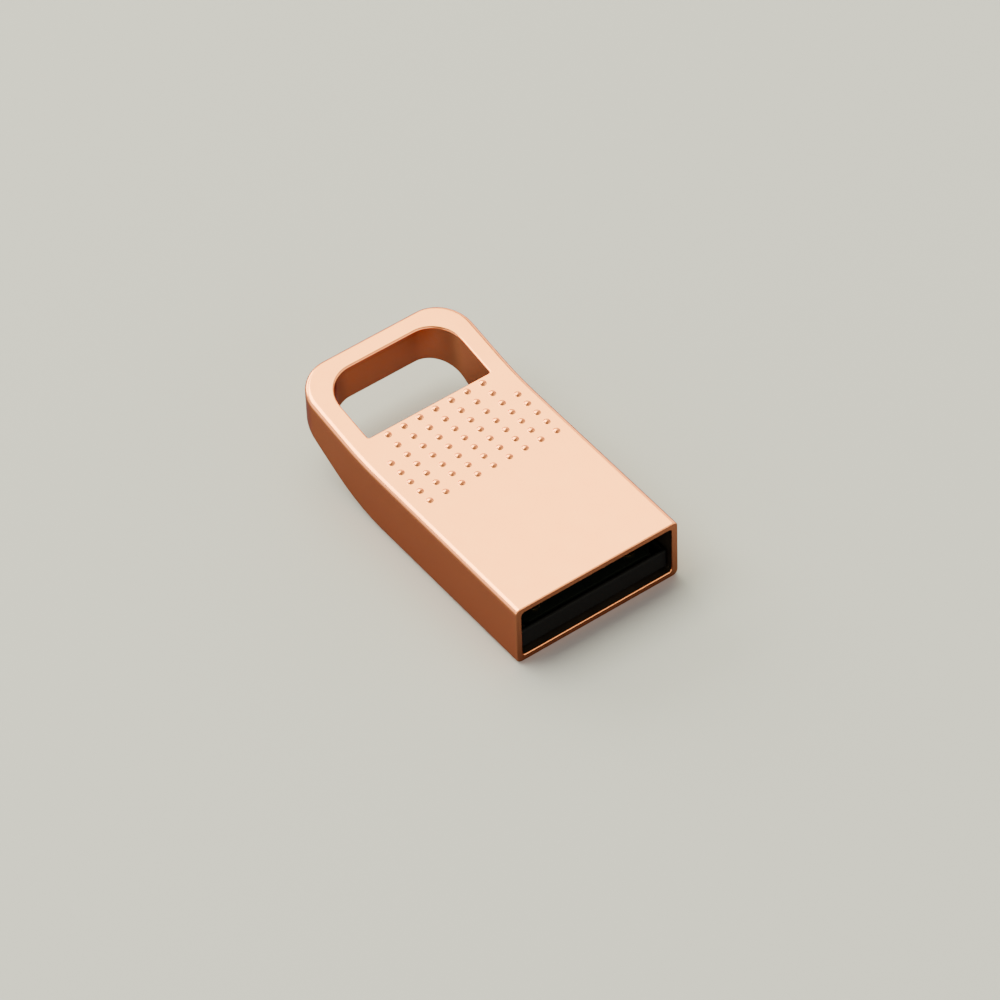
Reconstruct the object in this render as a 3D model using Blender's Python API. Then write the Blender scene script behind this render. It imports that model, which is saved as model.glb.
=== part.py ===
"""USB flash drive: one metal shell that is both plug and body, with a lanyard loop.

The drive lies along Y. Its open end, the USB-A plug, faces -Y and its lanyard loop is
toward +Y, where the whole tail sweeps upward. Inside the shell a plastic tray carries a
chip-on-board module: board, four contacts on top, chips under it and a moulded cap.
Sizes are in millimetres and are turned into metres by MM. Distances along the drive are
measured from the open end; the origin is at the bottom centre of the whole drive.
"""

import math

import bmesh
import bpy
from mathutils import Matrix, Vector

MM = 0.001

# Metal shell, outside
SHELL_WIDTH = 12.0
SHELL_HEIGHT = 4.5
SHELL_LENGTH = 22.9
TAIL_CORNER_RADIUS = 2.5
EDGE_RADIUS = 0.38
EDGE_STEPS = 8

# The tail sweeps up: each face leaves the straight on an arc, then keeps its slope
TOP_SWEEP_START = 13.8
TOP_SWEEP_RADIUS = 20.0
TOP_SWEEP_SLOPE = math.radians(10.75)
UNDER_SWEEP_START = 13.6
UNDER_SWEEP_RADIUS = 10.3
UNDER_SWEEP_SLOPE = math.radians(27.5)
SWEEP_STATIONS = 14

# Lanyard hole through the tail
HOLE_HALF_WIDTH = 4.55
HOLE_NEAR = 16.7
HOLE_FAR = 21.6
HOLE_CORNER_RADIUS = 2.1
HOLE_TOP_EDGE = 0.12
HOLE_UNDER_EDGE = 0.3
HOLE_EDGE_STEPS = 2
CORNER_STEPS = 9

# Plug cavity
WALL = 0.45
CAVITY_DEPTH = 15.2
CAVITY_EDGE_RADIUS = 0.25
CUT_OVERRUN = 1.0

# Pips on the top face
PIP_COLUMNS = 9
PIP_ROWS = 7
PIP_OUTER_COLUMN_SKIPS = 2
PIP_COLUMN_PITCH = 1.18
PIP_ROW_PITCH = 0.975
PIP_FIRST_ROW = 16.25
PIP_FIELD_SHIFT = 0.12
PIP_RADIUS = 0.25
PIP_HEIGHT = 0.15
PIP_SEGMENTS = 10
PIP_RINGS = 6

# Clearances inside the shell
SIDE_GAP = 0.1
LAYER_GAP = 0.05

# Adhesive film and contact tray
ADHESIVE_THICKNESS = 0.08
ADHESIVE_WIDTH = 9.0
ADHESIVE_START = 2.0
ADHESIVE_END = 13.0
TRAY_FRONT = 0.4
TRAY_FLOOR = 0.25
TRAY_WALL = 0.35
TRAY_EDGE_RADIUS = 0.1

# Module
BOARD_THICKNESS = 0.4
BOARD_CORNER_CHAMFER = 0.6
MOULD_SETBACK = 0.2
MOULD_EDGE_RADIUS = 0.08
CONTACT_TOP_BELOW_ROOF = 1.95
CONTACT_THICKNESS = 0.05
CONTACT_SEAT = 0.02
CONTACT_WIDTH = 1.0
CONTACT_END = 8.7
POWER_CONTACT_START = 1.3
DATA_CONTACT_START = 2.3
POWER_CONTACT_X = 3.5
DATA_CONTACT_X = 1.0
CONTACT_END_STEPS = 6

# Chips under the board: width, length, thickness, and the middle of each
FLASH_SIZE = (8.6, 7.2, 0.3)
FLASH_PLACE = (0.0, 10.1)
CONTROLLER_SIZE = (2.4, 2.4, 0.3)
CONTROLLER_PLACE = (2.6, 4.6)
CRYSTAL_SIZE = (2.0, 1.6, 0.32)
CRYSTAL_PLACE = (-3.4, 4.6)
BEAD_SIZE = (0.5, 1.0, 0.3)
BEAD_PLACE = (0.35, 4.6)
CAPACITOR_SIZE = (1.0, 0.5, 0.3)
CAPACITOR_ROW = 2.2
CAPACITOR_PITCH = 1.8
CAPACITOR_COUNT = 4
RESISTOR_SIZE = (0.6, 0.3, 0.23)
RESISTOR_COLUMN = -0.9
RESISTOR_FIRST = 3.7
RESISTOR_PITCH = 0.9
RESISTOR_COUNT = 3
POCKET_FLOOR_GAP = 0.05
CHIP_EDGE_RADIUS = 0.03

# Heights worked out from the sizes above
CAVITY_FLOOR = WALL
CAVITY_ROOF = SHELL_HEIGHT - WALL
CONTACT_TOP = CAVITY_ROOF - CONTACT_TOP_BELOW_ROOF
BOARD_TOP = CONTACT_TOP - CONTACT_THICKNESS - CONTACT_SEAT
BOARD_BOTTOM = BOARD_TOP - BOARD_THICKNESS
CHIP_TOP = BOARD_BOTTOM - LAYER_GAP
ADHESIVE_BOTTOM = CAVITY_FLOOR + LAYER_GAP
TRAY_BOTTOM = ADHESIVE_BOTTOM + ADHESIVE_THICKNESS + LAYER_GAP
MOULD_BOTTOM = TRAY_BOTTOM + TRAY_FLOOR + LAYER_GAP

# Plan sizes worked out from the cavity
TRAY_HALF_WIDTH = SHELL_WIDTH / 2 - WALL - SIDE_GAP
TRAY_REAR = CAVITY_DEPTH - SIDE_GAP
BOARD_HALF_WIDTH = TRAY_HALF_WIDTH - TRAY_WALL - SIDE_GAP
BOARD_FRONT = TRAY_FRONT + TRAY_WALL + SIDE_GAP
BOARD_REAR = TRAY_REAR - TRAY_WALL - SIDE_GAP


# ---------------------------------------------------------------- scene helpers

def clear_scene():
    for item in list(bpy.data.objects):
        bpy.data.objects.remove(item, do_unlink=True)


def make_frame():
    """The empty that every piece hangs on, in the middle of the open end's lower edge."""
    frame = bpy.data.objects.new("drive_frame", None)
    frame.location = (0.0, -SHELL_LENGTH / 2 * MM, 0.0)
    bpy.context.collection.objects.link(frame)
    return frame


def make_material(name, colour, roughness, metallic):
    material = bpy.data.materials.new(name)
    material.use_nodes = True
    shader = material.node_tree.nodes["Principled BSDF"]
    shader.inputs["Base Color"].default_value = (*colour, 1.0)
    shader.inputs["Roughness"].default_value = roughness
    shader.inputs["Metallic"].default_value = metallic
    return material


def add_object(name, shape, frame, material=None, place=(0.0, 0.0, 0.0)):
    """Turn a bmesh in millimetres into an object hung on the frame at a place."""
    bmesh.ops.recalc_face_normals(shape, faces=shape.faces)
    shape.transform(Matrix.Scale(MM, 4))
    mesh = bpy.data.meshes.new(name)
    shape.to_mesh(mesh)
    shape.free()
    mesh.shade_smooth()
    mesh.set_sharp_from_angle(angle=math.radians(35))
    item = bpy.data.objects.new(name, mesh)
    item.parent = frame
    item.location = Vector(place) * MM
    if material:
        mesh.materials.append(material)
    bpy.context.collection.objects.link(item)
    return item


def hide_guide(item):
    item.hide_render = True
    item.display_type = "WIRE"


def add_boolean(item, guide, operation):
    modifier = item.modifiers.new(guide.name, "BOOLEAN")
    modifier.operation = operation
    modifier.object = guide


def add_bevel(item, radius, segments=2):
    modifier = item.modifiers.new("rounded_edges", "BEVEL")
    modifier.width = radius * MM
    modifier.segments = segments
    modifier.limit_method = "ANGLE"
    modifier.angle_limit = math.radians(40)


def box(size, centre=(0.0, 0.0, 0.0)):
    shape = bmesh.new()
    bmesh.ops.create_cube(shape, size=1.0)
    shape.transform(Matrix.Translation(centre) @ Matrix.Diagonal((*size, 1.0)))
    return shape


# ---------------------------------------------------------------- metal shell

def swept_rise(distance, start, radius, slope):
    """How far a face has risen at a distance: an arc from start, then a straight slope."""
    run = max(distance - start, 0.0)
    arc_run = radius * math.sin(slope)
    if run < arc_run:
        return radius - math.sqrt(radius * radius - run * run)
    return radius * (1.0 - math.cos(slope)) + (run - arc_run) * math.tan(slope)


def top_rise(distance):
    return swept_rise(distance, TOP_SWEEP_START, TOP_SWEEP_RADIUS, TOP_SWEEP_SLOPE)


def under_rise(distance):
    return swept_rise(distance, UNDER_SWEEP_START, UNDER_SWEEP_RADIUS, UNDER_SWEEP_SLOPE)


def plan_outline(half_width, near, far, radius):
    """A rectangle with square near corners and two rounded far corners, anticlockwise."""
    points = [(-half_width, near), (half_width, near)]
    for side, first_angle in ((1.0, 0.0), (-1.0, 90.0)):
        for step in range(CORNER_STEPS + 1):
            angle = math.radians(first_angle + 90.0 * step / CORNER_STEPS)
            across = side * (half_width - radius) + radius * math.cos(angle)
            points.append((across, far - radius + radius * math.sin(angle)))
    return points


def rounded_wall(top_radius, under_radius, steps):
    """Inset and height of each ring of a wall with rounded edges, from the bottom up."""
    rings = []
    for step in range(steps + 1):
        angle = math.radians(90.0 * step / steps)
        rings.append((under_radius * (1.0 - math.sin(angle)), under_radius * (1.0 - math.cos(angle))))
    for step in range(steps + 1):
        angle = math.radians(90.0 * step / steps)
        height = SHELL_HEIGHT - top_radius * (1.0 - math.sin(angle))
        rings.append((top_radius * (1.0 - math.cos(angle)), height))
    return rings


def add_wall(shape, rings):
    """Skin a stack of rings with quads and return its lowest and highest ring's edges."""
    for lower, upper in zip(rings, rings[1:]):
        for index in range(len(lower)):
            following = (index + 1) % len(lower)
            shape.faces.new((lower[index], lower[following], upper[following], upper[index]))
    ends = []
    for ring in (rings[0], rings[-1]):
        pairs = zip(ring, ring[1:] + ring[:1])
        ends.append([shape.edges.get(pair) for pair in pairs])
    return ends


def outer_wall(shape):
    rings = []
    for inset, height in rounded_wall(EDGE_RADIUS, EDGE_RADIUS, EDGE_STEPS):
        outline = plan_outline(SHELL_WIDTH / 2 - inset, 0.0, SHELL_LENGTH - inset, TAIL_CORNER_RADIUS - inset)
        rings.append([shape.verts.new((x, y, height)) for x, y in outline])
    return add_wall(shape, rings)


def hole_wall(shape):
    rings = []
    for inset, height in rounded_wall(HOLE_TOP_EDGE, HOLE_UNDER_EDGE, HOLE_EDGE_STEPS):
        outline = plan_outline(
            HOLE_HALF_WIDTH + inset, HOLE_NEAR - inset, HOLE_FAR + inset, HOLE_CORNER_RADIUS + inset)
        rings.append([shape.verts.new((x, y, height)) for x, y in outline])
    return add_wall(shape, rings)


def sweep_tail(shape):
    """Cut the slab across at even stations and lift each face along its own sweep."""
    start = min(TOP_SWEEP_START, UNDER_SWEEP_START)
    stations = [start + (SHELL_LENGTH - start) * step / SWEEP_STATIONS for step in range(SWEEP_STATIONS)]
    for station in stations:
        everything = shape.verts[:] + shape.edges[:] + shape.faces[:]
        bmesh.ops.bisect_plane(shape, geom=everything, plane_co=(0.0, station, 0.0), plane_no=(0.0, 1.0, 0.0))
    for vertex in shape.verts:
        upper_half = vertex.co.z > SHELL_HEIGHT / 2
        vertex.co.z += top_rise(vertex.co.y) if upper_half else under_rise(vertex.co.y)


def pip_places():
    """Middle of each pip, across and along; the two outer columns start two rows later."""
    places = []
    for column in range(PIP_COLUMNS):
        outer = column in (0, PIP_COLUMNS - 1)
        first_row = PIP_OUTER_COLUMN_SKIPS if outer else 0
        for row in range(first_row, PIP_ROWS):
            across = PIP_FIELD_SHIFT + (column - (PIP_COLUMNS - 1) / 2) * PIP_COLUMN_PITCH
            places.append((across, PIP_FIRST_ROW - row * PIP_ROW_PITCH))
    return places


def pip_guide(frame):
    """All the pips as flattened balls whose middles lie in the shell's top face."""
    shape = bmesh.new()
    for across, along in pip_places():
        place = Matrix.Translation((across, along, SHELL_HEIGHT + top_rise(along)))
        flatten = Matrix.Diagonal((1.0, 1.0, PIP_HEIGHT / PIP_RADIUS, 1.0))
        bmesh.ops.create_uvsphere(
            shape, u_segments=PIP_SEGMENTS, v_segments=PIP_RINGS, radius=PIP_RADIUS, matrix=place @ flatten)
    guide = add_object("pips", shape, frame)
    hide_guide(guide)
    return guide


def cavity_guide(frame):
    """The plug cavity: a long box with rounded long edges, run out past the open end."""
    length = CAVITY_DEPTH + CUT_OVERRUN
    size = (SHELL_WIDTH - 2 * WALL, length, CAVITY_ROOF - CAVITY_FLOOR)
    centre = (0.0, CAVITY_DEPTH - length / 2, SHELL_HEIGHT / 2)
    shape = box(size, centre)
    long_edges = [edge for edge in shape.edges if abs(edge.verts[0].co.y - edge.verts[1].co.y) > 1.0]
    bmesh.ops.bevel(
        shape, geom=long_edges, offset=CAVITY_EDGE_RADIUS, segments=3, profile=0.5, affect="EDGES")
    guide = add_object("plug_cavity", shape, frame)
    hide_guide(guide)
    return guide


def metal_shell(frame, material):
    shape = bmesh.new()
    outer_ends = outer_wall(shape)
    hole_ends = hole_wall(shape)
    for outer_end, hole_end in zip(outer_ends, hole_ends):
        bmesh.ops.triangle_fill(shape, use_beauty=True, use_dissolve=False, edges=outer_end + hole_end)
    sweep_tail(shape)
    shell = add_object("metal_shell", shape, frame, material)
    add_boolean(shell, cavity_guide(frame), "DIFFERENCE")
    add_boolean(shell, pip_guide(frame), "UNION")


# ---------------------------------------------------------------- tray and adhesive

def contact_tray(frame, material):
    """An open tray: its walls reach the board's top, and the module lies inside them."""
    depth = TRAY_REAR - TRAY_FRONT
    height = BOARD_TOP - TRAY_BOTTOM
    middle = (TRAY_FRONT + TRAY_REAR) / 2
    shape = box((2 * TRAY_HALF_WIDTH, depth, height), (0.0, 0.0, height / 2))
    shape.faces.ensure_lookup_table()
    top = max(shape.faces, key=lambda face: face.calc_center_median().z)
    bmesh.ops.inset_individual(shape, faces=[top], thickness=TRAY_WALL)
    lowered = bmesh.ops.extrude_face_region(shape, geom=[top])
    shape.faces.remove(top)
    for item in lowered["geom"]:
        if isinstance(item, bmesh.types.BMVert):
            item.co.z = TRAY_FLOOR
    tray = add_object("contact_tray", shape, frame, material, (0.0, middle, TRAY_BOTTOM))
    add_bevel(tray, TRAY_EDGE_RADIUS)


def tray_adhesive(frame, material):
    length = ADHESIVE_END - ADHESIVE_START
    shape = box((ADHESIVE_WIDTH, length, ADHESIVE_THICKNESS))
    middle = (ADHESIVE_START + ADHESIVE_END) / 2
    place = (0.0, middle, ADHESIVE_BOTTOM + ADHESIVE_THICKNESS / 2)
    add_object("tray_adhesive", shape, frame, material, place)


# ---------------------------------------------------------------- module

def circuit_board(frame, material):
    length = BOARD_REAR - BOARD_FRONT
    shape = box((2 * BOARD_HALF_WIDTH, length, BOARD_THICKNESS))
    upright = [edge for edge in shape.edges if abs(edge.verts[0].co.z - edge.verts[1].co.z) > 0.1]
    front = [edge for edge in upright if edge.verts[0].co.y < 0.0]
    bmesh.ops.bevel(shape, geom=front, offset=BOARD_CORNER_CHAMFER, segments=1, affect="EDGES")
    place = (0.0, (BOARD_FRONT + BOARD_REAR) / 2, BOARD_BOTTOM + BOARD_THICKNESS / 2)
    add_object("circuit_board", shape, frame, material, place)


def contact_pad(name, across, start, frame, material):
    """A flat gold contact with a half-round front end, lying just on the board."""
    radius = CONTACT_WIDTH / 2
    outline = [(radius, CONTACT_END), (-radius, CONTACT_END)]
    for step in range(CONTACT_END_STEPS + 1):
        angle = math.radians(180.0 + 180.0 * step / CONTACT_END_STEPS)
        outline.append((radius * math.cos(angle), start + radius + radius * math.sin(angle)))
    shape = bmesh.new()
    face = shape.faces.new([shape.verts.new((x, y, 0.0)) for x, y in outline])
    raised = bmesh.ops.extrude_face_region(shape, geom=[face])
    for item in raised["geom"]:
        if isinstance(item, bmesh.types.BMVert):
            item.co.z = CONTACT_THICKNESS
    place = (across, 0.0, CONTACT_TOP - CONTACT_THICKNESS)
    add_object(name, shape, frame, material, place)


def contacts(frame, material):
    contact_pad("contact_vbus", POWER_CONTACT_X, POWER_CONTACT_START, frame, material)
    contact_pad("contact_data_minus", DATA_CONTACT_X, DATA_CONTACT_START, frame, material)
    contact_pad("contact_data_plus", -DATA_CONTACT_X, DATA_CONTACT_START, frame, material)
    contact_pad("contact_ground", -POWER_CONTACT_X, POWER_CONTACT_START, frame, material)


def capacitor_places():
    first = -CAPACITOR_PITCH * (CAPACITOR_COUNT - 1) / 2
    return [(first + CAPACITOR_PITCH * index, CAPACITOR_ROW) for index in range(CAPACITOR_COUNT)]


def resistor_places():
    return [(RESISTOR_COLUMN, RESISTOR_FIRST + RESISTOR_PITCH * index) for index in range(RESISTOR_COUNT)]


def chip_list():
    """Name, size and place of every chip that hangs under the board."""
    chips = [
        ("flash_die", FLASH_SIZE, FLASH_PLACE),
        ("controller_die", CONTROLLER_SIZE, CONTROLLER_PLACE),
        ("crystal_oscillator", CRYSTAL_SIZE, CRYSTAL_PLACE),
        ("ferrite_bead", BEAD_SIZE, BEAD_PLACE),
    ]
    for number, place in enumerate(capacitor_places(), start=1):
        chips.append((f"capacitor_{number}", CAPACITOR_SIZE, place))
    for number, place in enumerate(resistor_places(), start=1):
        chips.append((f"resistor_{number}", RESISTOR_SIZE, place))
    return chips


def chip(name, size, place, frame, material):
    shape = box(size)
    item = add_object(name, shape, frame, material, (*place, CHIP_TOP - size[2] / 2))
    add_bevel(item, CHIP_EDGE_RADIUS, segments=1)


def mould_pockets(frame):
    """The pockets that hold the chips, open at the mould's top face."""
    pockets = bmesh.new()
    for _, size, place in chip_list():
        floor = CHIP_TOP - size[2] - POCKET_FLOOR_GAP
        height = CHIP_TOP + CUT_OVERRUN - floor
        pocket_size = (size[0] + 2 * SIDE_GAP, size[1] + 2 * SIDE_GAP, height)
        centre = (*place, floor + height / 2)
        pocket_matrix = Matrix.Translation(centre) @ Matrix.Diagonal((*pocket_size, 1.0))
        bmesh.ops.create_cube(pockets, size=1.0, matrix=pocket_matrix)
    guide = add_object("mould_pockets", pockets, frame)
    hide_guide(guide)
    return guide


def mould_cap(frame, material):
    front = BOARD_FRONT + MOULD_SETBACK
    rear = BOARD_REAR - MOULD_SETBACK
    size = (2 * (BOARD_HALF_WIDTH - MOULD_SETBACK), rear - front, CHIP_TOP - MOULD_BOTTOM)
    shape = box(size)
    place = (0.0, (front + rear) / 2, (CHIP_TOP + MOULD_BOTTOM) / 2)
    cap = add_object("mould_cap", shape, frame, material, place)
    add_bevel(cap, MOULD_EDGE_RADIUS, segments=1)
    add_boolean(cap, mould_pockets(frame), "DIFFERENCE")


# ---------------------------------------------------------------- whole drive

def build_drive():
    clear_scene()
    frame = make_frame()
    rose_metal = make_material("rose_metal", (0.86, 0.50, 0.36), 0.34, 1.0)
    black_plastic = make_material("black_plastic", (0.012, 0.012, 0.013), 0.55, 0.0)
    clear_adhesive = make_material("clear_adhesive", (0.75, 0.72, 0.62), 0.4, 0.0)
    board_mask = make_material("board_mask", (0.01, 0.012, 0.014), 0.45, 0.0)
    gold_plate = make_material("gold_plate", (0.94, 0.70, 0.30), 0.25, 1.0)
    mould_epoxy = make_material("mould_epoxy", (0.02, 0.02, 0.021), 0.7, 0.0)
    silicon = make_material("silicon", (0.18, 0.19, 0.22), 0.25, 0.6)
    crystal_can = make_material("crystal_can", (0.75, 0.74, 0.70), 0.3, 1.0)
    ceramic = make_material("ceramic", (0.42, 0.30, 0.20), 0.5, 0.0)
    ferrite = make_material("ferrite", (0.10, 0.095, 0.09), 0.5, 0.0)
    resistor_film = make_material("resistor_film", (0.03, 0.03, 0.04), 0.5, 0.0)

    metal_shell(frame, rose_metal)
    contact_tray(frame, black_plastic)
    tray_adhesive(frame, clear_adhesive)
    circuit_board(frame, board_mask)
    contacts(frame, gold_plate)
    mould_cap(frame, mould_epoxy)
    chip_materials = {
        "flash": silicon,
        "controller": silicon,
        "crystal": crystal_can,
        "ferrite": ferrite,
        "capacitor": ceramic,
        "resistor": resistor_film,
    }
    for name, size, place in chip_list():
        kind = name.split("_")[0]
        chip(name, size, place, frame, chip_materials[kind])


build_drive()
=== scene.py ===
"""Looks of the USB flash drive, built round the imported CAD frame.

The shell is modelled again at full fineness in place of its CAD solid: the same slab, sweep, hole,
pips and cavity, with smooth rounded edges. The tray, board, contacts and chips keep their CAD meshes
and get their materials here. Shell sizes are in millimetres, and its distances run from the open end.
Sizes and places on the stage are in metres.
"""

import math

import bmesh
import bpy
from mathutils import Matrix, Vector
from mathutils.geometry import delaunay_2d_cdt


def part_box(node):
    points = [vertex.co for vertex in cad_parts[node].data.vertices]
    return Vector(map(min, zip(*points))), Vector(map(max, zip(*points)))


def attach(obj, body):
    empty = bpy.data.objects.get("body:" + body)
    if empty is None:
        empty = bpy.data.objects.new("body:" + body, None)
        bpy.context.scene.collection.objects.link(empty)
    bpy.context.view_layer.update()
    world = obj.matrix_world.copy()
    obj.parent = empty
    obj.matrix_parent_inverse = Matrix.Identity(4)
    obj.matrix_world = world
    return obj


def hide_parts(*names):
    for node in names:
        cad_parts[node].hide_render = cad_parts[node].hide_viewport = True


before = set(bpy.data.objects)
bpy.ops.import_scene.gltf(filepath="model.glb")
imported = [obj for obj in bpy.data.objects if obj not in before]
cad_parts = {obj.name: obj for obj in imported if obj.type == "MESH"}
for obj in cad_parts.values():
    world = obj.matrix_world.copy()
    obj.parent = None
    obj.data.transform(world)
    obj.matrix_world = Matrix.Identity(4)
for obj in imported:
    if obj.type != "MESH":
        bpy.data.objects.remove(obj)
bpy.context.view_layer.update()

MM = 0.001

SHELL_LOW, SHELL_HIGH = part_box("metal_shell")
SHELL_WIDTH = (SHELL_HIGH.x - SHELL_LOW.x) / MM
SHELL_LENGTH = (SHELL_HIGH.y - SHELL_LOW.y) / MM
SHELL_HEIGHT = 4.5
TAIL_CORNER_RADIUS = 2.5
EDGE_RADIUS = 0.38
EDGE_STEPS = 8
CORNER_STEPS = 28
STATION_PITCH = 0.4
ROUNDING = 1e-6

TOP_SWEEP_START = 13.8
TOP_SWEEP_RADIUS = 20.0
TOP_SWEEP_SLOPE = math.radians(10.75)
UNDER_SWEEP_START = 13.6
UNDER_SWEEP_RADIUS = 10.3
UNDER_SWEEP_SLOPE = math.radians(27.5)

HOLE_HALF_WIDTH = 4.55
HOLE_NEAR = 16.7
HOLE_FAR = 21.6
HOLE_CORNER_RADIUS = 2.1
HOLE_TOP_EDGE = 0.12
HOLE_UNDER_EDGE = 0.3
HOLE_EDGE_STEPS = 5
HOLE_NEAR_RADIUS = 0.12
HOLE_NEAR_STEPS = 4

WALL = 0.45
CAVITY_DEPTH = 15.2
CAVITY_CORNER_RADIUS = 0.25
CAVITY_CORNER_STEPS = 5
MOUTH_EDGE = 0.07
MOUTH_EDGE_STEPS = 3

PIP_COLUMNS = 9
PIP_ROWS = 7
PIP_OUTER_COLUMN_SKIPS = 2
PIP_COLUMN_PITCH = 1.18
PIP_ROW_PITCH = 0.975
PIP_FIRST_ROW = 16.25
PIP_FIELD_SHIFT = 0.12
PIP_SKIRT = 0.25
PIP_HEIGHT = 0.15
PIP_FULLNESS = 1.05
PIP_SEGMENTS = 28
PIP_RINGS = 8

FILL_PITCH = 0.4
FILL_MARGIN = 0.17
FILL_PRECISION = 1e-6

NOISE_RANGE = (0.3, 0.7)
METAL_ROUGHNESS = (0.225, 0.245)
METAL_GRAIN_STRENGTH = 0.2
METAL_GRAIN_DEPTH = 2e-6
CAVITY_ROUGHNESS = (0.5, 0.65)
GRAIN_STRENGTH = 0.3

FLOOR_REACH = 6.0
FLOOR_TONE = (0.295, 0.295, 0.37)
# The floor's tone in rays mirrored by the metal near the drive: a painted dark reflection.
FLOOR_PAINTED_REFLECTION_TONE = (0.056, 0.059, 0.112)
FLOOR_ROUGHNESS = 0.75
FLOOR_DARK_REACH = 0.016
FLOOR_PALE_REACH = 0.038

SKY_COLOUR = (1.0, 0.93, 0.76)
SKY_HEIGHTS = (0.10, 0.55)
SKY_STRENGTHS = (1.30, 0.42)
LIGHT_DISTANCE = 1.5

CAMERA_AZIMUTH = math.radians(-35.16)
CAMERA_ELEVATION = math.radians(46.14)
CAMERA_ROLL = math.radians(-2.02)
CAMERA_PLACE = (-0.145527, -0.20838, 0.265163)
CAMERA_LENS = 218.94
CAMERA_SENSOR = 36.0
CAMERA_CLIP = 0.01


# ---------------------------------------------------------------- shell geometry
# Every vertex carries its true surface normal, so that the faces shade as smooth machined ones.

def swept_rise(distance, start, radius, slope):
    """Rise and gradient of a face at a distance: an arc from start, then a straight slope."""
    run = max(distance - start, 0.0)
    arc_run = radius * math.sin(slope)
    if run < arc_run:
        height = math.sqrt(radius * radius - run * run)
        return radius - height, run / height
    return radius * (1.0 - math.cos(slope)) + (run - arc_run) * math.tan(slope), math.tan(slope)


def top_rise(distance):
    return swept_rise(distance, TOP_SWEEP_START, TOP_SWEEP_RADIUS, TOP_SWEEP_SLOPE)


def under_rise(distance):
    return swept_rise(distance, UNDER_SWEEP_START, UNDER_SWEEP_RADIUS, UNDER_SWEEP_SLOPE)


class Skin:
    """A bmesh whose vertices remember their surface normals."""

    def __init__(self):
        self.shape = bmesh.new()
        self.normals = self.shape.verts.layers.float_vector.new("surface_normal")

    def vertex(self, position, normal):
        vertex = self.shape.verts.new(position)
        vertex[self.normals] = Vector(normal).normalized()
        return vertex

    def edges(self, ring):
        pairs = zip(ring, ring[1:] + ring[:1])
        return [self.shape.edges.get(pair) or self.shape.edges.new(pair) for pair in pairs]

    def bands(self, rings, open_first_side=False):
        for lower, upper in zip(rings, rings[1:]):
            for index in range(1 if open_first_side else 0, len(lower)):
                following = (index + 1) % len(lower)
                self.shape.faces.new((lower[index], lower[following], upper[following], upper[index]))

    def fill(self, edges):
        bmesh.ops.triangle_fill(self.shape, use_beauty=True, use_dissolve=False, edges=edges)


def edge_distance(x, y, half_width, near, far, near_radius, far_radius):
    """How far a point lies inside a plan with rounded corners; negative outside it."""
    for end, radius in ((y - near, near_radius), (far - y, far_radius)):
        past_x = radius - (half_width - abs(x))
        past_y = radius - end
        if past_x > 0.0 and past_y > 0.0:
            return radius - math.hypot(past_x, past_y)
    return min(half_width - abs(x), y - near, far - y)


def face_distance(x, y, edge, hole_edge, pips):
    """How far a point lies inside the flat of a face, between its edge, the hole and the pips."""
    outer = edge_distance(
        x, y, SHELL_WIDTH / 2 - edge, MOUTH_EDGE, SHELL_LENGTH - edge, 0.0, TAIL_CORNER_RADIUS - edge)
    hole = edge_distance(
        x, y, HOLE_HALF_WIDTH + hole_edge, HOLE_NEAR - hole_edge, HOLE_FAR + hole_edge,
        HOLE_NEAR_RADIUS + hole_edge, HOLE_CORNER_RADIUS + hole_edge)
    clear = [math.hypot(x - across, y - along) - PIP_SKIRT for across, along in pips]
    return min([outer, -hole] + clear)


def face_fill(skin, loops, height, facing, edge, hole_edge, pips):
    """Fill a flat face between its boundary loops with even triangles."""
    vertices = [vertex for loop in loops for vertex in loop]
    constraints = []
    for loop in loops:
        first = len(constraints)
        constraints += [(first + index, first + (index + 1) % len(loop)) for index in range(len(loop))]
    points = [vertex.co.to_2d() for vertex in vertices]
    columns = int(SHELL_WIDTH / FILL_PITCH)
    for row in range(int(SHELL_LENGTH / FILL_PITCH)):
        for column in range(columns):
            x = (column + 0.5 - columns / 2) * FILL_PITCH
            y = (row + 0.5) * FILL_PITCH
            if face_distance(x, y, edge, hole_edge, pips) > FILL_MARGIN:
                points.append(Vector((x, y)))
                vertices.append(skin.vertex((x, y, height), (0.0, 0.0, facing)))
    _, _, triangles, sources, _, _ = delaunay_2d_cdt(points, constraints, [], 1, FILL_PRECISION)
    for triangle in triangles:
        corners = [vertices[sources[index][0]] for index in triangle]
        centre = sum((vertex.co for vertex in corners), Vector()) / 3
        if face_distance(centre.x, centre.y, edge, hole_edge, pips) > 0.0:
            skin.shape.faces.new(corners)


def corner(centre_x, centre_y, radius, first_angle, steps):
    """Points of a quarter circle, each with its outward direction."""
    points = []
    for step in range(steps + 1):
        angle = math.radians(first_angle + 90.0 * step / steps)
        across, along = math.cos(angle), math.sin(angle)
        points.append((centre_x + radius * across, centre_y + radius * along, across, along))
    return points


def sides_and_far_corners(half_width, near, far, radius):
    """The outline from the near right corner round the far end to the near left corner."""
    spans = math.ceil((far - radius - near) / STATION_PITCH - ROUNDING)
    pitch = (far - radius - near) / spans
    right = [(half_width, near + pitch * step, 1.0, 0.0) for step in range(1, spans)]
    left = [(-half_width, y, -1.0, 0.0) for _, y, _, _ in reversed(right)]
    right += corner(half_width - radius, far - radius, radius, 0.0, CORNER_STEPS)
    return right + corner(radius - half_width, far - radius, radius, 90.0, CORNER_STEPS) + left


def rounded_wall(top_radius, under_radius, steps):
    """Inset, height and tilt of each ring of a wall with rounded edges, from the bottom up."""
    rings = []
    for step in range(steps + 1):
        angle = math.radians(90.0 * step / steps)
        height = under_radius * (1.0 - math.cos(angle))
        rings.append((under_radius * (1.0 - math.sin(angle)), height, angle - math.pi / 2))
    for step in range(steps + 1):
        angle = math.radians(90.0 * step / steps)
        height = SHELL_HEIGHT - top_radius * (1.0 - math.sin(angle))
        rings.append((top_radius * (1.0 - math.cos(angle)), height, angle))
    return rings


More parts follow.
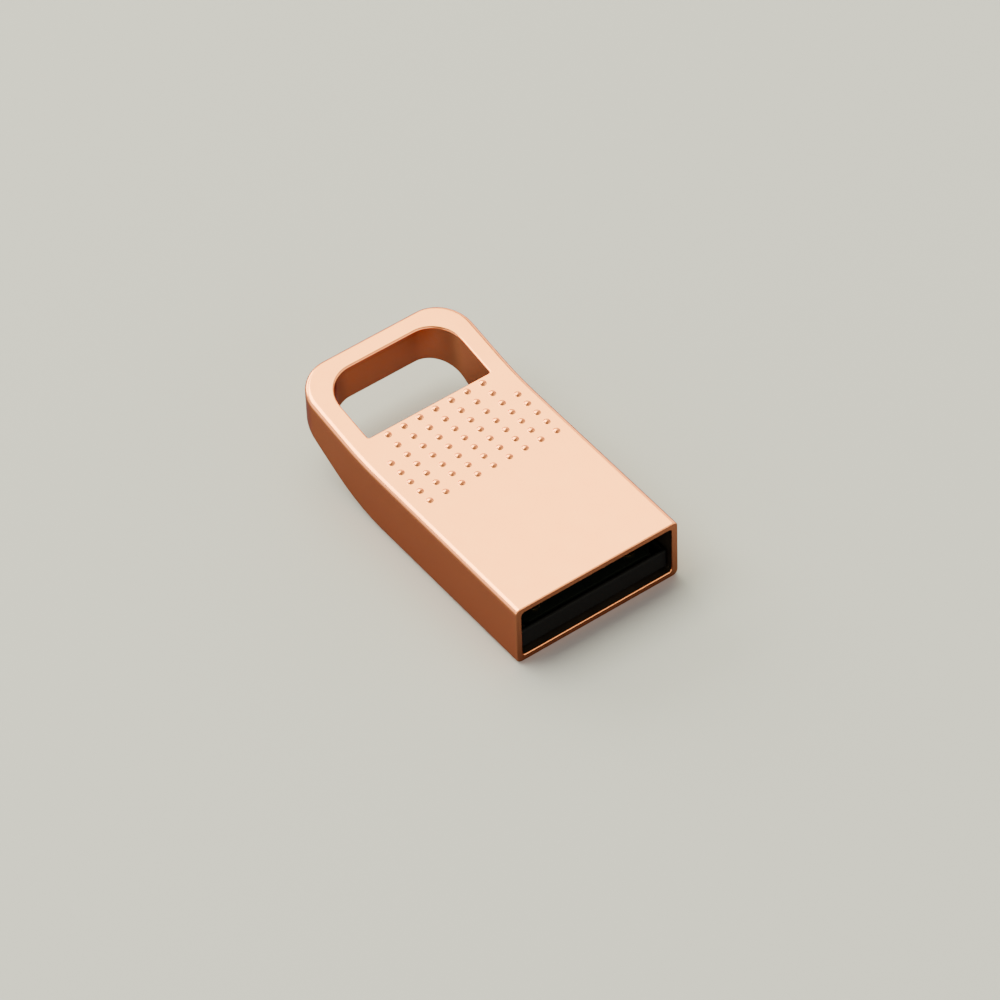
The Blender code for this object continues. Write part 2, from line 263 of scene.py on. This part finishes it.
def wall_ring(skin, outline, height, tilt, facing):
    """One ring of a wall that faces out of its outline, or into it with facing -1."""
    ring = []
    for x, y, across, along in outline:
        normal = (facing * across * math.cos(tilt), facing * along * math.cos(tilt), math.sin(tilt))
        ring.append(skin.vertex((x, y, height), normal))
    return ring


def outer_wall(skin, wall):
    rings = []
    for inset, height, tilt in wall:
        half_width = SHELL_WIDTH / 2 - inset
        outline = [(-half_width, MOUTH_EDGE, -1.0, 0.0), (half_width, MOUTH_EDGE, 1.0, 0.0)]
        outline += sides_and_far_corners(
            half_width, MOUTH_EDGE, SHELL_LENGTH - inset, TAIL_CORNER_RADIUS - inset)
        rings.append(wall_ring(skin, outline, height, tilt, 1.0))
    skin.bands(rings, open_first_side=True)
    return rings


def hole_wall(skin):
    rings = []
    for inset, height, tilt in rounded_wall(HOLE_TOP_EDGE, HOLE_UNDER_EDGE, HOLE_EDGE_STEPS):
        half_width = HOLE_HALF_WIDTH + inset
        radius = HOLE_NEAR_RADIUS + inset
        near = HOLE_NEAR - inset + radius
        outline = corner(radius - half_width, near, radius, 180.0, HOLE_NEAR_STEPS)
        outline += corner(half_width - radius, near, radius, 270.0, HOLE_NEAR_STEPS)
        outline += sides_and_far_corners(
            half_width, near, HOLE_FAR + inset, HOLE_CORNER_RADIUS + inset)
        rings.append(wall_ring(skin, outline, height, tilt, -1.0))
    skin.bands(rings)
    return rings


def pip_places():
    places = []
    for column in range(PIP_COLUMNS):
        outer = column in (0, PIP_COLUMNS - 1)
        first_row = PIP_OUTER_COLUMN_SKIPS if outer else 0
        for row in range(first_row, PIP_ROWS):
            across = PIP_FIELD_SHIFT + (column - (PIP_COLUMNS - 1) / 2) * PIP_COLUMN_PITCH
            places.append((across, PIP_FIRST_ROW - row * PIP_ROW_PITCH))
    return places


def pip(skin, across, along):
    """A domed pip that runs out flat at its skirt; returns its lowest ring."""
    rings = []
    for ring in range(PIP_RINGS):
        share = 1.0 - ring / PIP_RINGS
        fall = 1.0 - share * share
        height = PIP_HEIGHT * fall ** PIP_FULLNESS
        gradient = 2.0 * PIP_FULLNESS * PIP_HEIGHT * share * fall ** (PIP_FULLNESS - 1.0) / PIP_SKIRT
        vertices = []
        for segment in range(PIP_SEGMENTS):
            angle = 2.0 * math.pi * segment / PIP_SEGMENTS
            x, y = math.cos(angle), math.sin(angle)
            place = (across + PIP_SKIRT * share * x, along + PIP_SKIRT * share * y, SHELL_HEIGHT + height)
            vertices.append(skin.vertex(place, (gradient * x, gradient * y, 1.0)))
        rings.append(vertices)
    skin.bands(rings)
    crown = skin.vertex((across, along, SHELL_HEIGHT + PIP_HEIGHT), (0.0, 0.0, 1.0))
    last = rings[-1]
    for index, vertex in enumerate(last):
        skin.shape.faces.new((vertex, last[(index + 1) % PIP_SEGMENTS], crown))
    return rings[0]


def sweep_tail(skin):
    """Lift each face along its sweep and turn its normals."""
    for vertex in skin.shape.verts:
        upper_half = vertex.co.z > SHELL_HEIGHT / 2
        rise, gradient = top_rise(vertex.co.y) if upper_half else under_rise(vertex.co.y)
        vertex.co.z += rise
        normal = vertex[skin.normals].copy()
        normal.y -= gradient * normal.z
        vertex[skin.normals] = normal.normalized()


def mouth_edge(skin, rings, wall):
    """Round the shell's outside over to the flat rim of the open end."""
    left = [(ring[0], -1.0, tilt) for ring, (_, _, tilt) in zip(rings, wall)]
    right = [(ring[1], 1.0, tilt) for ring, (_, _, tilt) in zip(rings, wall)]
    section = left + right[::-1]
    loops = [[vertex for vertex, _, _ in section]]
    for step in range(1, MOUTH_EDGE_STEPS + 1):
        turn = math.radians(90.0 * step / MOUTH_EDGE_STEPS)
        inset = MOUTH_EDGE * (1.0 - math.cos(turn))
        along = MOUTH_EDGE * (1.0 - math.sin(turn))
        loop = []
        for vertex, side, tilt in section:
            across, upward = side * math.cos(tilt), math.sin(tilt)
            place = (vertex.co.x - inset * across, along, vertex.co.z - inset * upward)
            normal = (across * math.cos(turn), -math.sin(turn), upward * math.cos(turn))
            loop.append(skin.vertex(place, normal))
        loops.append(loop)
    skin.bands(loops)
    return loops[-1]


def cavity_section(grow):
    """The cavity's outline across the drive, grown outward: x, z and outward direction."""
    radius = CAVITY_CORNER_RADIUS + grow
    half_width = SHELL_WIDTH / 2 - WALL + grow - radius
    half_height = SHELL_HEIGHT / 2 - WALL + grow - radius
    points = []
    for x_side, z_side, first_angle in ((1, 1, 0.0), (-1, 1, 90.0), (-1, -1, 180.0), (1, -1, 270.0)):
        centre_z = SHELL_HEIGHT / 2 + z_side * half_height
        points += corner(x_side * half_width, centre_z, radius, first_angle, CAVITY_CORNER_STEPS)
    return points


def cavity(skin):
    """The plug cavity from the rim inward, closed at its far end."""
    stations = []
    for step in range(MOUTH_EDGE_STEPS + 1):
        turn = math.radians(90.0 * step / MOUTH_EDGE_STEPS)
        stations.append((MOUTH_EDGE * (1.0 - math.cos(turn)), MOUTH_EDGE * (1.0 - math.sin(turn)), turn))
    stations.append((CAVITY_DEPTH, 0.0, math.pi / 2))
    rings = []
    for along, grow, turn in stations:
        ring = []
        for x, z, across, upward in cavity_section(grow):
            normal = (-across * math.sin(turn), -math.cos(turn), -upward * math.sin(turn))
            ring.append(skin.vertex((x, along, z), normal))
        rings.append(ring)
    skin.bands(rings)
    end_face = skin.shape.faces.new(rings[-1])
    return rings[0], end_face


def in_cavity(face):
    centre = face.calc_center_median()
    inside_x = abs(centre.x) < SHELL_WIDTH / 2 - WALL + MOUTH_EDGE / 2
    inside_z = abs(centre.z - SHELL_HEIGHT / 2) < SHELL_HEIGHT / 2 - WALL + MOUTH_EDGE / 2
    return inside_x and inside_z and MOUTH_EDGE < centre.y < CAVITY_DEPTH + MOUTH_EDGE


def shell_surface():
    skin = Skin()
    wall = rounded_wall(EDGE_RADIUS, EDGE_RADIUS, EDGE_STEPS)
    outer = outer_wall(skin, wall)
    hole = hole_wall(skin)
    pips = pip_places()
    top_loops = [outer[-1], hole[-1]] + [pip(skin, across, along) for across, along in pips]
    face_fill(skin, top_loops, SHELL_HEIGHT, 1.0, EDGE_RADIUS, HOLE_TOP_EDGE, pips)
    face_fill(skin, [outer[0], hole[0]], 0.0, -1.0, EDGE_RADIUS, HOLE_UNDER_EDGE, [])
    sweep_tail(skin)
    rim = mouth_edge(skin, outer, wall)
    lip, end_face = cavity(skin)
    skin.fill(skin.edges(rim) + skin.edges(lip))
    bmesh.ops.recalc_face_normals(skin.shape, faces=skin.shape.faces)
    # Faces inside the plug cavity take the second material, a nearly black painted shade.
    for face in skin.shape.faces:
        face.material_index = 1 if in_cavity(face) else 0
    return skin, end_face


def build_shell():
    skin, end_face = shell_surface()
    skin.shape.faces.index_update()
    end_index = end_face.index
    loop_normals = []
    for face in skin.shape.faces:
        for loop in face.loops:
            flat = face.index == end_index
            loop_normals.append(face.normal.copy() if flat else loop.vert[skin.normals].copy())
    skin.shape.transform(Matrix.Translation((0.0, SHELL_LOW.y, 0.0)) @ Matrix.Scale(MM, 4))
    mesh = bpy.data.meshes.new("rose_metal_body")
    skin.shape.verts.layers.float_vector.remove(skin.normals)
    skin.shape.to_mesh(mesh)
    skin.shape.free()
    mesh.shade_smooth()
    mesh.normals_split_custom_set(loop_normals)
    body = bpy.data.objects.new("rose_metal_body", mesh)
    bpy.context.collection.objects.link(body)
    return body


# ---------------------------------------------------------------- materials

def new_material(name):
    material = bpy.data.materials.new(name)
    material.use_nodes = True
    nodes = material.node_tree.nodes
    return material, nodes, material.node_tree.links, nodes["Principled BSDF"]


def noise(nodes, links, source, scale, detail, roughness=0.5):
    node = nodes.new("ShaderNodeTexNoise")
    node.inputs["Scale"].default_value = scale
    node.inputs["Detail"].default_value = detail
    node.inputs["Roughness"].default_value = roughness
    links.new(source, node.inputs["Vector"])
    return node.outputs["Fac"]


def map_range(nodes, links, source, source_range, target_range):
    node = nodes.new("ShaderNodeMapRange")
    node.inputs["From Min"].default_value, node.inputs["From Max"].default_value = source_range
    node.inputs["To Min"].default_value, node.inputs["To Max"].default_value = target_range
    links.new(source, node.inputs["Value"])
    return node.outputs["Result"]


def tone(nodes, links, factor, first, second):
    """A colour between two others."""
    node = nodes.new("ShaderNodeMix")
    node.data_type = "RGBA"
    node.inputs["A"].default_value = (*first, 1.0)
    node.inputs["B"].default_value = (*second, 1.0)
    links.new(factor, node.inputs["Factor"])
    return node.outputs["Result"]


def bump(nodes, links, height, shader, strength, distance):
    node = nodes.new("ShaderNodeBump")
    node.inputs["Strength"].default_value = strength
    node.inputs["Distance"].default_value = distance
    links.new(height, node.inputs["Height"])
    links.new(node.outputs["Normal"], shader.inputs["Normal"])


def object_position(nodes):
    return nodes.new("ShaderNodeTexCoord").outputs["Object"]


def rose_metal():
    """Satin copper-coloured metal: slight blotches in tone and gloss, and a very fine grain."""
    material, nodes, links, shader = new_material("satin_rose_metal")
    position = object_position(nodes)
    shader.inputs["Metallic"].default_value = 1.0
    shader.inputs["Specular Tint"].default_value = (0.50, 0.38, 0.50, 1.0)
    blotch = noise(nodes, links, position, 700.0, 3.0)
    grain = noise(nodes, links, position, 14000.0, 2.0)
    colour = tone(nodes, links, blotch, (0.90, 0.33, 0.145), (0.88, 0.31, 0.13))
    links.new(colour, shader.inputs["Base Color"])
    rough = map_range(nodes, links, blotch, NOISE_RANGE, METAL_ROUGHNESS)
    links.new(rough, shader.inputs["Roughness"])
    bump(nodes, links, grain, shader, METAL_GRAIN_STRENGTH, METAL_GRAIN_DEPTH)
    return material


def painted_shade_cavity():
    """Painted shade: the inside of the plug is coloured nearly black to stand in for the shade in the
    cavity.
    """
    material, nodes, links, shader = new_material("cavity_painted_shade")
    shader.inputs["Metallic"].default_value = 0.6
    haze = noise(nodes, links, object_position(nodes), 900.0, 3.0)
    colour = tone(nodes, links, haze, (0.012, 0.009, 0.008), (0.022, 0.014, 0.011))
    links.new(colour, shader.inputs["Base Color"])
    rough = map_range(nodes, links, haze, NOISE_RANGE, CAVITY_ROUGHNESS)
    links.new(rough, shader.inputs["Roughness"])
    return material


def fine_grained(name, dark, light, scale, roughness, depth, metallic=0.0, shine=0.5):
    """A fine-grained surface: two close tones, uneven roughness and a shallow grain."""
    material, nodes, links, shader = new_material(name)
    shader.inputs["Specular IOR Level"].default_value = shine
    shader.inputs["Metallic"].default_value = metallic
    grain = noise(nodes, links, object_position(nodes), scale, 4.0, 0.6)
    links.new(tone(nodes, links, grain, dark, light), shader.inputs["Base Color"])
    links.new(map_range(nodes, links, grain, NOISE_RANGE, roughness), shader.inputs["Roughness"])
    bump(nodes, links, grain, shader, GRAIN_STRENGTH, depth)
    return material


def inner_materials():
    """The materials of the inner parts, by how a node's name starts; the first match counts."""
    silicon = fine_grained(
        "silicon_die", (0.12, 0.13, 0.16), (0.20, 0.21, 0.25), 4000.0, (0.15, 0.25), 1e-6, 0.6)
    return {
        # The tray plastic and the board's mask are black. Their near-black, dull tones are darker than that
        # own black, which adds painted shade to the deep mouth.
        "contact_tray": fine_grained(
            "black_tray_plastic", (0.003, 0.003, 0.004), (0.007, 0.007, 0.008), 6000.0, (0.5, 0.65), 6e-6,
            shine=0.06),
        "tray_adhesive": fine_grained(
            "adhesive_film", (0.68, 0.65, 0.55), (0.78, 0.75, 0.66), 2500.0, (0.35, 0.5), 3e-6),
        "circuit_board": fine_grained(
            "black_board_mask", (0.003, 0.004, 0.004), (0.007, 0.009, 0.008), 3500.0, (0.4, 0.5), 3e-6,
            shine=0.08),
        "contact_": fine_grained(
            "gold_contact_plate", (0.90, 0.62, 0.24), (0.98, 0.74, 0.36), 9000.0, (0.18, 0.3), 2e-6, 1.0),
        "mould_cap": fine_grained(
            "mould_epoxy", (0.014, 0.014, 0.015), (0.026, 0.026, 0.027), 5000.0, (0.6, 0.75), 8e-6),
        "flash_die": silicon,
        "controller_die": silicon,
        "crystal_oscillator": fine_grained(
            "crystal_lid", (0.66, 0.65, 0.62), (0.80, 0.79, 0.75), 5000.0, (0.25, 0.4), 2e-6, 1.0),
        "ferrite_bead": fine_grained(
            "ferrite_body", (0.08, 0.075, 0.07), (0.12, 0.115, 0.11), 8000.0, (0.45, 0.6), 3e-6),
        "capacitor_": fine_grained(
            "ceramic_body", (0.36, 0.25, 0.16), (0.46, 0.33, 0.22), 8000.0, (0.45, 0.6), 3e-6),
        "resistor_": fine_grained(
            "resistor_film", (0.02, 0.02, 0.026), (0.04, 0.04, 0.05), 8000.0, (0.4, 0.55), 2e-6),
    }


def dress_nodes(nodes_by_name):
    materials = inner_materials()
    for name, node in nodes_by_name.items():
        matches = [material for start, material in materials.items() if name.startswith(start)]
        if matches:
            node.data.materials.clear()
            node.data.materials.append(matches[0])


# ---------------------------------------------------------------- stage

def floor_paint():
    """Plain pale paint as the camera sees it. Close to the drive, the metal mirrors it as dark, a painted
    dark reflection which keeps the drive's sides deep.
    """
    material, nodes, links, shader = new_material("pale_floor_paint")
    distance = nodes.new("ShaderNodeVectorMath")
    distance.operation = "LENGTH"
    links.new(object_position(nodes), distance.inputs[0])
    reaches = (FLOOR_DARK_REACH, FLOOR_PALE_REACH)
    close = map_range(nodes, links, distance.outputs["Value"], reaches, (1.0, 0.0))
    # Painted reflection: only rays mirrored by the metal see the dark tone near the drive.
    mirrored = nodes.new("ShaderNodeMath")
    mirrored.operation = "MULTIPLY"
    links.new(close, mirrored.inputs[0])
    links.new(nodes.new("ShaderNodeLightPath").outputs["Is Glossy Ray"], mirrored.inputs[1])
    paint = tone(nodes, links, mirrored.outputs["Value"], FLOOR_TONE, FLOOR_PAINTED_REFLECTION_TONE)
    links.new(paint, shader.inputs["Base Color"])
    shader.inputs["Roughness"].default_value = FLOOR_ROUGHNESS
    return material


def pale_floor():
    mesh = bpy.data.meshes.new("pale_floor")
    corners = [(-1, -1), (1, -1), (1, 1), (-1, 1)]
    mesh.from_pydata([(FLOOR_REACH * x, FLOOR_REACH * y, 0.0) for x, y in corners], [], [(0, 1, 2, 3)])
    floor = bpy.data.objects.new("pale_floor", mesh)
    bpy.context.collection.objects.link(floor)
    mesh.materials.append(floor_paint())


def softbox(name, direction, size, radiance, colour, long_axis=(1.0, 0.0, 0.0)):
    """A flat light that faces the drive; its size is in metres at the lights' distance."""
    back = Vector(direction).normalized()
    across = Vector(long_axis)
    across = (across - across.dot(back) * back).normalized()
    light = bpy.data.lights.new(name, "AREA")
    light.shape = "RECTANGLE"
    light.size, light.size_y = size
    light.energy = radiance * math.pi * size[0] * size[1]
    light.color = colour
    lamp = bpy.data.objects.new(name, light)
    lamp.matrix_world = Matrix((across, back.cross(across), back)).transposed().to_4x4()
    lamp.location = back * LIGHT_DISTANCE
    bpy.context.collection.objects.link(lamp)


def sky():
    """Even light from all round, brighter low down."""
    world = bpy.data.worlds.new("studio")
    bpy.context.scene.world = world
    world.use_nodes = True
    nodes, links = world.node_tree.nodes, world.node_tree.links
    direction = nodes.new("ShaderNodeSeparateXYZ")
    links.new(nodes.new("ShaderNodeTexCoord").outputs["Generated"], direction.inputs[0])
    strength = map_range(nodes, links, direction.outputs["Z"], SKY_HEIGHTS, SKY_STRENGTHS)
    links.new(strength, nodes["Background"].inputs["Strength"])
    nodes["Background"].inputs["Color"].default_value = (*SKY_COLOUR, 1.0)


def softboxes():
    """Soft lights for the metal to mirror: six that the camera sees in it, then three for other views."""
    softbox("key_softbox", (0.32, 0.57, 0.76), (0.90, 1.46), 6.3, (0.96, 1.0, 0.54))
    softbox("edge_softbox", (-0.31, 0.42, 0.85), (1.25, 0.90), 15.0, (1.0, 0.99, 0.62))
    softbox("back_softbox", (-0.20, 0.91, 0.36), (1.15, 0.60), 14.0, (1.0, 0.99, 0.60))
    softbox("right_softbox", (0.80, 0.52, 0.25), (0.80, 0.70), 3.0, (1.0, 0.93, 0.66))
    softbox("front_softbox", (0.60, -0.20, 0.77), (2.20, 2.00), 0.5, (1.0, 0.86, 0.52))
    softbox("side_softbox", (-0.80, 0.50, 0.30), (0.80, 0.70), 1.3, (1.0, 0.97, 0.90), (0.0, 0.0, 1.0))
    softbox("low_front_softbox", (0.68, -0.68, 0.28), (1.80, 0.60), 3.0, (1.0, 0.97, 0.66))
    softbox("low_mouth_softbox", (-0.05, -0.94, 0.36), (1.10, 0.60), 2.6, (1.0, 0.97, 0.66))
    softbox("low_left_softbox", (-0.95, -0.12, 0.28), (1.50, 0.60), 2.6, (1.0, 0.97, 0.66), (0.0, 1.0, 0.0))


def add_camera():
    """The reference view: a long lens from the front left, above."""
    back = Vector((
        math.sin(CAMERA_AZIMUTH) * math.cos(CAMERA_ELEVATION),
        -math.cos(CAMERA_AZIMUTH) * math.cos(CAMERA_ELEVATION),
        math.sin(CAMERA_ELEVATION)))
    level = Vector((math.cos(CAMERA_AZIMUTH), math.sin(CAMERA_AZIMUTH), 0.0))
    right = math.cos(CAMERA_ROLL) * level + math.sin(CAMERA_ROLL) * back.cross(level)
    data = bpy.data.cameras.new("camera")
    data.lens = CAMERA_LENS
    data.sensor_width = CAMERA_SENSOR
    data.clip_start = CAMERA_CLIP
    camera = bpy.data.objects.new("camera", data)
    camera.matrix_world = Matrix((right, back.cross(right), back)).transposed().to_4x4()
    camera.location = CAMERA_PLACE
    bpy.context.collection.objects.link(camera)
    bpy.context.scene.camera = camera


def build_scene():
    body = build_shell()
    body.data.materials.append(rose_metal())
    # The second material paints the cavity's shade nearly black.
    body.data.materials.append(painted_shade_cavity())
    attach(body, "root")
    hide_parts("metal_shell")
    dress_nodes(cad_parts)
    pale_floor()
    sky()
    softboxes()
    add_camera()


build_scene()
